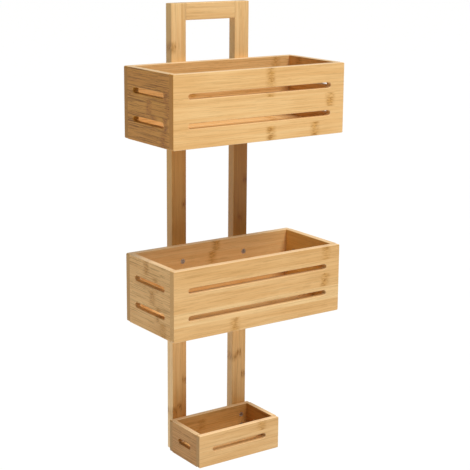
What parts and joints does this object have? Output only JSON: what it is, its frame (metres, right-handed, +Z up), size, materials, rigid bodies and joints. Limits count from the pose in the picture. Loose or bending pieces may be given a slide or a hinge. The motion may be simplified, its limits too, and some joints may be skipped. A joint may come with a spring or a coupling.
{
  "type": "hanging shower caddy",
  "caption": "Tall bamboo caddy that hangs by its top rail, with slotted open baskets for bottles and a small soap basket at the foot.",
  "frame": {"origin": "centre of the top rail's underside, the face that the caddy hangs by", "axes": "+X to the right seen from the front, +Y to the wall behind, +Z up"},
  "size_m": [0.3, 0.147, 0.694],
  "materials": {
    "bamboo_panel": "satin clear lacquer over sanded strip bamboo",
    "bamboo_frame": "satin clear lacquer over sanded strip bamboo",
    "bamboo_slat": "satin clear lacquer over sanded bamboo",
    "birch_dowel": "bare turned wood",
    "screw_steel": "plain stainless steel"
  },
  "bodies": {
    "root": {"left_post": "bamboo_frame", "right_post": "bamboo_frame", "top_rail": "bamboo_frame", "rail_dowels": "birch_dowel", "upper_basket_front_panel": "bamboo_panel", "upper_basket_back_panel": "bamboo_panel", "upper_basket_left_end_panel": "bamboo_panel", "upper_basket_right_end_panel": "bamboo_panel", "upper_basket_left_cleat": "bamboo_slat", "upper_basket_right_cleat": "bamboo_slat", "upper_basket_floor_slat_1": "bamboo_slat", "upper_basket_floor_slat_2": "bamboo_slat", "upper_basket_floor_slat_3": "bamboo_slat", "upper_basket_floor_slat_4": "bamboo_slat", "upper_basket_corner_dowels": "birch_dowel", "upper_basket_slat_screws": "screw_steel", "upper_basket_mounting_screws": "screw_steel", "middle_basket_front_panel": "bamboo_panel", "middle_basket_back_panel": "bamboo_panel", "middle_basket_left_end_panel": "bamboo_panel", "middle_basket_right_end_panel": "bamboo_panel", "middle_basket_left_cleat": "bamboo_slat", "middle_basket_right_cleat": "bamboo_slat", "middle_basket_floor_slat_1": "bamboo_slat", "middle_basket_floor_slat_2": "bamboo_slat", "middle_basket_floor_slat_3": "bamboo_slat", "middle_basket_floor_slat_4": "bamboo_slat", "middle_basket_corner_dowels": "birch_dowel", "middle_basket_slat_screws": "screw_steel", "middle_basket_mounting_screws": "screw_steel", "soap_basket_front_panel": "bamboo_panel", "soap_basket_back_panel": "bamboo_panel", "soap_basket_left_end_panel": "bamboo_panel", "soap_basket_right_end_panel": "bamboo_panel", "soap_basket_left_cleat": "bamboo_slat", "soap_basket_right_cleat": "bamboo_slat", "soap_basket_floor_slat_1": "bamboo_slat", "soap_basket_floor_slat_2": "bamboo_slat", "soap_basket_floor_slat_3": "bamboo_slat", "soap_basket_corner_dowels": "birch_dowel", "soap_basket_slat_screws": "screw_steel", "soap_basket_mounting_screws": "screw_steel"}
  },
  "joints": []
}
